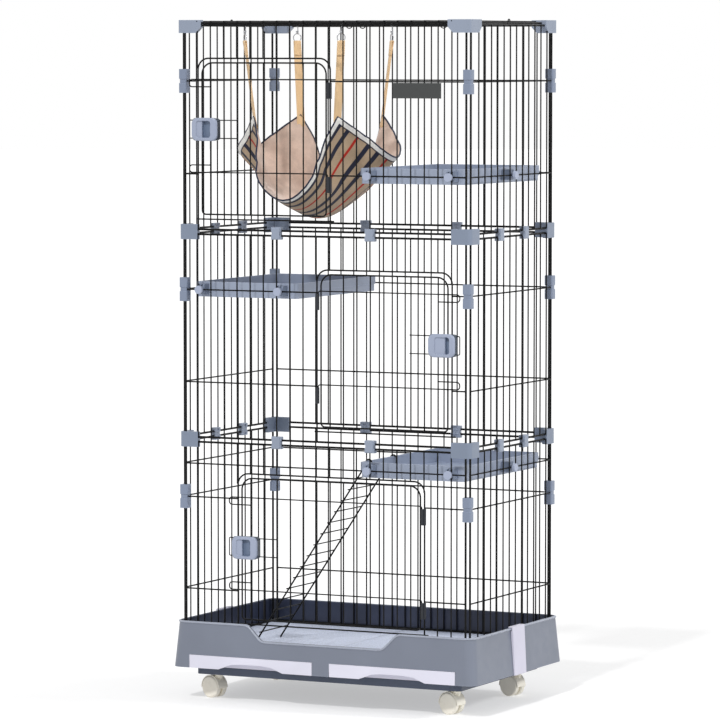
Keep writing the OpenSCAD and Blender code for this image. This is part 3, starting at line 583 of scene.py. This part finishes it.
def make_cloth(at):
    """The hung cloth: lining above, print below and a pale fold round its edge."""
    count = CLOTH_CELLS + 1
    lining, fold = plush("plush_lining", "dcc4b5"), plush("edge_fold", "e8e0d6")
    finishes = [lining, striped_cloth("striped_cloth"), fold]
    cloth = add_mesh("hammock_sheet", at.reshape(-1, 3), grid_faces(count, count), finishes, closed=False)
    step_u, step_v = (side / CLOTH_CELLS for side in CLOTH_SIDES)
    set_uv(cloth, [(i * step_u, j * step_v) for i in range(count) for j in range(count)])
    thick = cloth.modifiers.new("lining", "SOLIDIFY")
    thick.thickness = CLOTH_THICK
    thick.offset = -1.0
    thick.material_offset = 1
    thick.material_offset_rim = 2
    round_off = cloth.modifiers.new("soften", "SUBSURF")
    round_off.levels = round_off.render_levels = 1
    return cloth


# Half of a strap's rounded section, as parts of its half width and of its thickness
HALF_SECTION = [(-1.0, 0.0), (-0.95, 0.5), (-0.4, 0.56), (0.4, 0.56), (0.95, 0.5)]


def ribbon(name, centre, across, thick, mat):
    """A flat band with rounded edges along centre; across is its half width as a vector at each point."""
    count = len(centre)
    section = HALF_SECTION + [(-a, -b) for a, b in HALF_SECTION]
    m = len(section)
    points, flat, run = [], [], 0.0
    for k, (c, half) in enumerate(zip(centre, across)):
        along = centre[min(k + 1, count - 1)] - centre[max(k - 1, 0)]
        normal = along.cross(half).normalized()
        run += (c - centre[max(k - 1, 0)]).length
        points += [c + half * a + normal * (thick * b) for a, b in section]
        flat += [(a * STRAP_WIDE / 2, run) for a, b in section]
    faces = [
        (k * m + q, k * m + (q + 1) % m, (k + 1) * m + (q + 1) % m, (k + 1) * m + q)
        for k in range(count - 1)
        for q in range(m)
    ]
    faces += [tuple(reversed(range(m))), tuple((count - 1) * m + q for q in range(m))]
    made = add_mesh(name, points, faces, [mat])
    set_uv(made, flat)
    return made


def tube(name, path, radius, mat, sides=10):
    """Round cord along a closed path."""
    count = len(path)
    points = []
    up = Vector((0, 0, 1))
    for k, c in enumerate(path):
        along = (path[(k + 1) % count] - path[k - 1]).normalized()
        side = along.cross(up)
        # where the cord stands nearly upright, the section takes the cage's width instead
        side = side.normalized() if side.length > 0.2 else Vector((1, 0, 0))
        lift = side.cross(along).normalized()
        for q in range(sides):
            turn = 2 * math.pi * q / sides
            points.append(c + (side * math.cos(turn) + lift * math.sin(turn)) * radius)
    faces = []
    for k in range(count):
        a, b = k * sides, (k + 1) % count * sides
        faces += [(a + q, a + (q + 1) % sides, b + (q + 1) % sides, b + q) for q in range(sides)]
    return add_mesh(name, points, faces, [mat])


# Rings of the hooks, and the straps that turn round them and are sewn to the cloth
RING_RADIUS = 0.010
RING_WIRE = 0.0024
OFF_WIRE = 0.62  # strap's middle line from the wire, as a part of its thickness
HALF_IN_RING = 0.0092  # half width where the strap is squeezed in the ring
SQUEEZED_TO = 0.004
FULL_FROM = 0.022
TAIL = 0.034
TAIL_START = 0.001
TAIL_NEAR = 0.42  # how far the tail's end stands off, as a part of the turn's radius
STRAIGHTENS = 3.5
SEWN = 0.032
TAIL_STEPS = 8
TURN_STEPS = 12
FALL_STEPS = 32
SEWN_STEPS = 8


def ring_centre(i, j):
    """Middle of the ring over corner i, j, read from the hooks' own points."""
    verts = [v.co for v in nodes["hammock_hooks"].data.vertices]
    mid_x, mid_y = middle([v.x for v in verts]), middle([v.y for v in verts])
    own = [v for v in verts if (v.x > mid_x) == bool(i) and (v.y > mid_y) == bool(j)]
    floor_z = min(v.z for v in own)
    ring = [v for v in own if v.z < floor_z + 2 * RING_RADIUS + RING_WIRE]
    centre = Vector((middle([v.x for v in ring]), middle([v.y for v in ring]), floor_z))
    centre.z += RING_RADIUS + RING_WIRE / 2
    return centre


def strap_path(i, j, corner, inward):
    """Centre line and half widths from the tail, round the ring and down on to the cloth."""
    across = Vector((1, -1, 0)).normalized() if i == j else Vector((1, 1, 0)).normalized()
    bottom = ring_centre(i, j) - Vector((0, 0, RING_RADIUS))
    down = (corner - bottom).normalized()
    out = down.cross(across).normalized()
    turn_r = RING_WIRE / 2 + STRAP_THICK * OFF_WIRE
    length = (corner - bottom).length
    line = []
    for f in parts_of(TAIL_STEPS):
        off = turn_r * (TAIL_NEAR + (1 - TAIL_NEAR) * f * f)
        line.append(bottom + down * (TAIL * (1 - f) + TAIL_START) + out * off)
    for k in range(1, TURN_STEPS):
        a = math.pi * k / TURN_STEPS
        line.append(bottom + out * (turn_r * math.cos(a)) - down * (turn_r * math.sin(a)))
    for f in parts_of(FALL_STEPS):
        off = turn_r * (1 - min(1, STRAIGHTENS * f)) ** 2
        line.append(bottom + down * (length * f) - out * off)
    for f in parts_of(SEWN_STEPS, 1):
        bend = (down * (1 - f) + inward * f).normalized()
        line.append(line[-1] + bend * (SEWN / SEWN_STEPS))
    half = []
    for c in line:
        wider = smooth((c - bottom).length, SQUEEZED_TO, FULL_FROM)
        half.append(across * (HALF_IN_RING + (STRAP_WIDE / 2 - HALF_IN_RING) * wider))
    return line, half


PIPING_RADIUS = 0.0021
# a strap's sewn end points to the place so many cells in from the cloth's corner
SEWN_CELLS = 3


def make_hammock():
    """The hung cloth, the piping along its edge and the four straps."""
    pins = cloth_pins()
    hung = hang_cloth(pins, CLOTH_SIDES, CLOTH_CELLS)
    cloth = make_cloth(hung)
    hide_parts("hammock_cloth")
    there, back = range(CLOTH_CELLS), range(CLOTH_CELLS, 0, -1)
    rim = [hung[k, 0] for k in there] + [hung[-1, k] for k in there]
    rim += [hung[k, -1] for k in back] + [hung[0, k] for k in back]
    half_thick = Vector((0, 0, CLOTH_THICK / 2))
    path = [Vector(p) - half_thick for p in rim]
    piping = tube("hammock_piping", path, PIPING_RADIUS, plush("navy_piping", "232a42"))
    inner = (SEWN_CELLS, CLOTH_CELLS - SEWN_CELLS)
    for i in (0, 1):
        for j in (0, 1):
            end = "fb"[j] + "lr"[i]
            corner = Vector(pins[i][j])
            inside = Vector(hung[inner[i], inner[j]]) - corner
            line, half = strap_path(i, j, corner, inside.normalized())
            strap = ribbon("hammock_strap_" + end, line, half, STRAP_THICK, FINISH["webbing_tan"])
            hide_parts("strap_" + end)


# Rolled lip along the tray's rim, dipping with the notch under the lowest door; its finish is paler than
# the tray, a painted highlight
LIP_RADIUS = 0.0026
RIM_FLARE = 0.009
RIM_CORNER = 0.026
NOTCH_TOP = 0.202
NOTCH_LOW = 0.164
NOTCH_Z = 0.158
NOTCH_BEND = 0.012
CORNER_STEPS = 8


def eased(corners, reach, steps=6):
    """Open line through the corners, each inner corner replaced by a short curve."""
    line = [corners[0]]
    for before, at, after in zip(corners, corners[1:], corners[2:]):
        start = at + (before - at).normalized() * min(reach, (before - at).length / 2)
        end = at + (after - at).normalized() * min(reach, (after - at).length / 2)
        for f in parts_of(steps):
            line.append(start * (1 - f) ** 2 + at * (2 * f * (1 - f)) + end * f ** 2)
    return line + [corners[-1]]


def make_lip():
    """The lip as one closed cord: the rim's four corners, and its front edge with the notch."""
    low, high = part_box("base_tray")
    top, half_w, half_d = high.z - LIP_RADIUS, high.x - RIM_FLARE, high.y - RIM_FLARE
    path = []
    for turn, (sx, sy) in enumerate(((1, -1), (1, 1), (-1, 1), (-1, -1))):
        x, y = sx * (half_w - RIM_CORNER), sy * (half_d - RIM_CORNER)
        for f in parts_of(CORNER_STEPS):
            a = math.pi / 2 * (turn - 1 + f)
            path.append(Vector((x + RIM_CORNER * math.cos(a), y + RIM_CORNER * math.sin(a), top)))
    drop = top - (NOTCH_Z - LIP_RADIUS)
    out = RIM_FLARE * drop / (high.z - low.z)
    end = half_w - 2 * RIM_CORNER
    notch = [(-end, 0), (-NOTCH_TOP, 0), (-NOTCH_LOW, 1), (NOTCH_LOW, 1), (NOTCH_TOP, 0), (end, 0)]
    corners = [Vector((x, -half_d - out * deep, top - drop * deep)) for x, deep in notch]
    lip = tube("tray_lip_painted_highlight", path + eased(corners, NOTCH_BEND), LIP_RADIUS, FINISH["tray_lip_painted_highlight"])


# Latches: a crowned shell with a rounded lip, on a smaller back block
LATCH_AROUND = 128
LATCH_RINGS = 56
LIP_STEPS = 6
LATCH_CORNER = 0.015
LATCH_CROWN = 0.0022
LATCH_FRONT = 0.93  # part of the outline that the front reaches before its lip rounds over
LATCH_LIP = 0.0035
LIP_START = 0.002
LATCH_SHELL = 0.0072
BACK_CORNER = 0.55  # corner of the back block, as a part of the shell's
INSET_TALL = 0.75  # how much less tall the back block is, as a part of how much less wide

# Finger hollow of a latch: a shallow pad, a deep trough and a narrow slot, side by side. First
# its left and right end and the end of the pad, as parts of the latch width
HOLLOWS = {1: (-0.31, 0.25, -0.10), 2: (-0.25, 0.31, 0.13), 3: (-0.31, 0.25, -0.10)}
HOLLOW_HALF_TALL = 0.37  # part of the latch height
HOLLOW_CORNER = 0.007
HOLLOW_WALL = 0.0012
PAD_DEEP = 0.0026
PAD_TILT = 0.0012
STEP_LONG = 0.002
TROUGH_DEEP = 0.0115
TROUGH_RISE = 0.0040
SLOT_DEEP = 0.0125
SLOT_STARTS = 0.0048
SLOT_FULL = 0.0036
HOLLOW_FROM = 0.0068  # front faces deeper than this take the darker finish, painted shade of the hollow


def rounded_reach(turn, half_w, half_h, corner):
    """Distance from the middle of a rounded rectangle to its outline in direction turn."""
    c, s = abs(math.cos(turn)), abs(math.sin(turn))
    straight = min(half_w / max(c, TINY), half_h / max(s, TINY))
    x, y = straight * c, straight * s
    if x <= half_w - corner or y <= half_h - corner:
        return straight
    cx, cy = half_w - corner, half_h - corner
    along = c * cx + s * cy
    return along + math.sqrt(max(0.0, along * along - cx * cx - cy * cy + corner * corner))


def hollow_depth(t, x, z, width, height):
    """Depth of the finger hollow of latch t at a place on its front."""
    left, right, step = (width * part for part in HOLLOWS[t])
    dx = max(left + HOLLOW_CORNER - x, x - (right - HOLLOW_CORNER), 0.0)
    dz = max(abs(z) - (height * HOLLOW_HALF_TALL - HOLLOW_CORNER), 0.0)
    inside = HOLLOW_CORNER - math.hypot(dx, dz)
    pad = PAD_DEEP + PAD_TILT * smooth(x, left, step)
    # the trough of the middle latch is level, and the others rise to the slot
    rise = 0.0 if t == 2 else TROUGH_RISE * smooth(x, step, right)
    trough = TROUGH_DEEP - rise
    depth = pad + (trough - pad) * smooth(x, step, step + STEP_LONG)
    depth += (SLOT_DEEP - trough) * smooth(x, right - SLOT_STARTS, right - SLOT_FULL)
    return depth * smooth(inside, 0.0, HOLLOW_WALL)


def make_latch(t):
    """The shell of latch t, as rings of points from the middle of its front to its back."""
    low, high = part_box(f"latch_{t}")
    mid = (low + high) / 2
    width, height, thick = high.x - low.x, high.z - low.z, high.y - low.y
    points = [(mid.x, low.y + hollow_depth(t, 0.0, 0.0, width, height), mid.z)]

    def ring(scale, y, wide=width, tall=height, corner=LATCH_CORNER, front=False):
        for k in range(LATCH_AROUND):
            turn = 2 * math.pi * k / LATCH_AROUND
            reach = rounded_reach(turn, wide / 2, tall / 2, corner) * scale
            x, z = reach * math.cos(turn), reach * math.sin(turn)
            deep = hollow_depth(t, x, z, width, height) if front else 0.0
            crown = LATCH_CROWN * ((2 * x / width) ** 2 + (2 * z / height) ** 2) / 2 if front else 0.0
            points.append((mid.x + x, y + deep + crown, mid.z + z))

    for r in range(1, LATCH_RINGS):
        ring(r / LATCH_RINGS * LATCH_FRONT, low.y, front=True)
    # rounded lip and side wall
    for k in range(1, LIP_STEPS + 1):
        a = math.pi / 2 * k / LIP_STEPS
        scale = LATCH_FRONT + (1 - LATCH_FRONT) * math.sin(a)
        ring(scale, low.y + LIP_START + LATCH_LIP * (1 - math.cos(a)))
    ring(1.0, low.y + LATCH_SHELL)
    # step and back block, as places behind the front and how much less wide they are
    back = (
        (LATCH_SHELL + 0.0004, 0.0012),
        (LATCH_SHELL + 0.0006, 0.003),
        (thick - 0.001, 0.003),
        (thick, 0.005),
    )
    for behind, inset in back:
        tall = height - inset * INSET_TALL
        ring(1.0, low.y + behind, width - inset, tall, LATCH_CORNER * BACK_CORNER)
    turns = [(k, (k + 1) % LATCH_AROUND) for k in range(LATCH_AROUND)]
    faces = [(0, 1 + after, 1 + k) for k, after in turns]
    last = len(points) - LATCH_AROUND
    for a in range(1, last, LATCH_AROUND):
        b = a + LATCH_AROUND
        faces += [(a + k, a + after, b + after, b + k) for k, after in turns]
    faces.append(tuple(range(last, len(points))))
    finishes = [FINISH["latch_blue"], FINISH["latch_back_painted_shade"], FINISH["latch_hollow_painted_shade"]]
    latch = add_mesh(f"latch_shell_{t}", points, faces, finishes, f"latch_{t}_body")
    # what lies behind the side wall takes a darker copy of the latch blue, painted shade of the back
    # block
    for face in latch.data.polygons:
        if face.index >= LATCH_AROUND * (LATCH_RINGS + LIP_STEPS):
            face.material_index = 1
        # front faces deep in the finger hollow take a darker copy of the latch blue, painted shade of the
        # hollow
        elif face.center.y > low.y + HOLLOW_FROM:
            face.material_index = 2
    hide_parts(f"latch_{t}")


def seen_directly(tree):
    """1 for rays that show the background itself: to the camera, in gloss and through glass."""
    path = tree.nodes.new("ShaderNodeLightPath")
    total = path.outputs["Is Camera Ray"]
    for other in ("Is Glossy Ray", "Is Transmission Ray"):
        join = tree.nodes.new("ShaderNodeMath")
        join.operation = "MAXIMUM"
        tree.links.new(total, join.inputs[0])
        tree.links.new(path.outputs[other], join.inputs[1])
        total = join.outputs[0]
    return total


# Studio: white surroundings whose light on the cage is AMBIENT, and two soft lamps, each with
# its strength, direction round from the front, height above level and apparent size
WHITE = (1.0, 1.0, 1.0, 1.0)
AMBIENT = 0.62
LAMPS = {"key": (1.45, 3, 44, 4), "fill": (1.15, 102, 32, 7)}
LAMP_DISTANCE = 6


def make_studio():
    world = bpy.data.worlds.new("studio")
    scene.world = world
    world.use_nodes = True
    tree = world.node_tree
    soft = tree.nodes["Background"]
    soft.inputs["Strength"].default_value = AMBIENT
    soft.inputs["Color"].default_value = WHITE
    white = tree.nodes.new("ShaderNodeBackground")
    white.inputs["Color"].default_value = WHITE
    white.inputs["Strength"].default_value = 1.0
    mix = tree.nodes.new("ShaderNodeMixShader")
    tree.links.new(seen_directly(tree), mix.inputs[0])
    tree.links.new(soft.outputs[0], mix.inputs[1])
    tree.links.new(white.outputs[0], mix.inputs[2])
    tree.links.new(mix.outputs[0], tree.nodes["World Output"].inputs["Surface"])
    for name, (strength, azimuth, height, blur) in LAMPS.items():
        data = bpy.data.lights.new(name, "SUN")
        data.energy = strength
        data.angle = math.radians(blur)
        lamp = add_object(name, data)
        away = heading(azimuth, height)
        lamp.rotation_mode = "QUATERNION"
        lamp.rotation_quaternion = away.to_track_quat("Z", "Y")
        lamp.location = away * LAMP_DISTANCE


# Floor: wide and white, with a soft shadow; GLOW is its own light where it is looked at, and
# BOUNCE is its own light on the cage
GLOW = 0.44
BOUNCE = 0.2
FLOOR_GREY = (0.62, 0.62, 0.62, 1.0)
FLOOR_RADIUS = 60.0
FLOOR_SIDES = 64


def make_floor():
    look = Look("floor")
    look.shader.inputs["Base Color"].default_value = FLOOR_GREY
    look.shader.inputs["Roughness"].default_value = 0.9
    look.shader.inputs["Specular IOR Level"].default_value = 0.0
    glow = look.node("ShaderNodeEmission")
    direct = look.math("MULTIPLY", seen_directly(look.tree), GLOW - BOUNCE)
    look.set(glow.inputs["Strength"], look.math("ADD", direct, BOUNCE))
    both = look.node("ShaderNodeAddShader")
    look.set(both.inputs[0], look.shader.outputs[0])
    look.set(both.inputs[1], glow.outputs[0])
    look.set(look.out.inputs["Surface"], both.outputs[0])
    mesh = bpy.data.meshes.new("floor")
    bm = bmesh.new()
    bmesh.ops.create_circle(bm, cap_ends=True, segments=FLOOR_SIDES, radius=FLOOR_RADIUS)
    bm.to_mesh(mesh)
    bm.free()
    mesh.materials.append(look.mat)
    floor = add_object("floor", mesh)


make_camera()
dress_cad()
make_hammock()
make_lip()
for tier in (1, 2, 3):
    make_latch(tier)
make_studio()
make_floor()
scene.view_settings.view_transform = "Standard"
